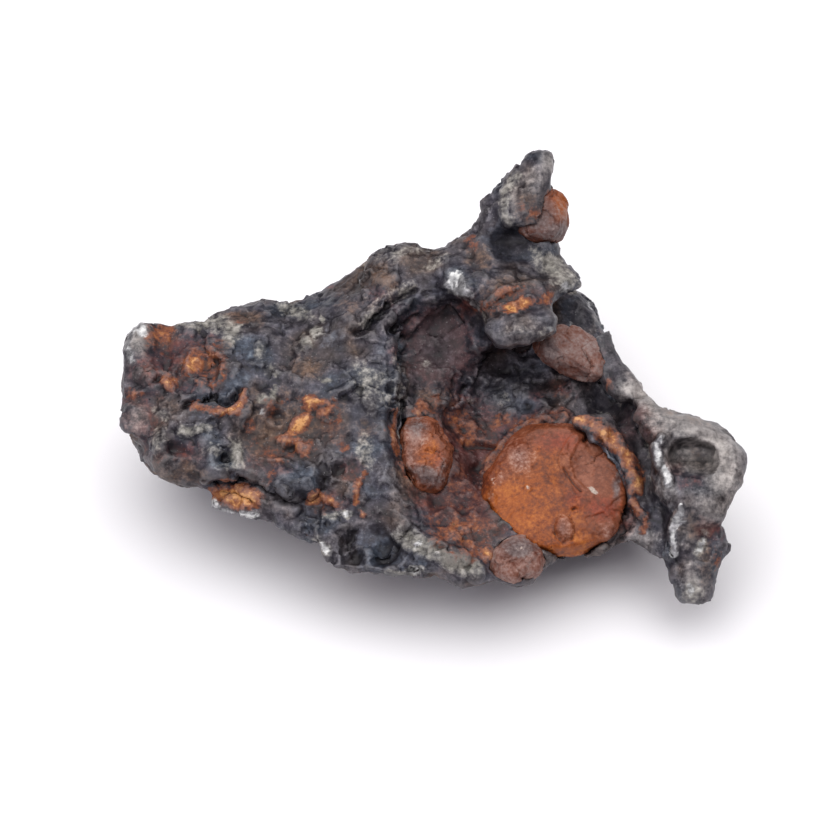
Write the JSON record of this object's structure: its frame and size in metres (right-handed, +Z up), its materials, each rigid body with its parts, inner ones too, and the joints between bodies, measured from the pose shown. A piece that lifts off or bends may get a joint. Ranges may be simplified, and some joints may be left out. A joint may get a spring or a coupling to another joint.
{
  "type": "iron meteorite",
  "caption": "Small rusty iron meteorite: a lumpy metal mass with a horn, a drooping leg and a deep hollow that holds weathered olivine grains. A specimen that rests on its underside.",
  "frame": {"origin": "middle of the footprint's box, on the surface that the piece rests on", "axes": "+X to the right of a viewer who looks at the pitted face, along the longest extent; +Y away from that viewer; +Z up from the resting surface"},
  "size_m": [0.0496, 0.0364, 0.0189],
  "materials": {
    "weathered_iron": "dark blue-grey weathered metal with orange-brown rust, pale crust and small bright spots",
    "weathered_olivine": "opaque rust-stained olivine, orange to brown, with a waxy to glassy lustre"
  },
  "bodies": {
    "root": {"iron_mass": "weathered_iron", "olivine_grain_large": "weathered_olivine", "olivine_grain_oval": "weathered_olivine", "olivine_grain_under_brow": "weathered_olivine", "olivine_grain_front": "weathered_olivine", "olivine_grain_horn": "weathered_olivine"}
  },
  "joints": []
}
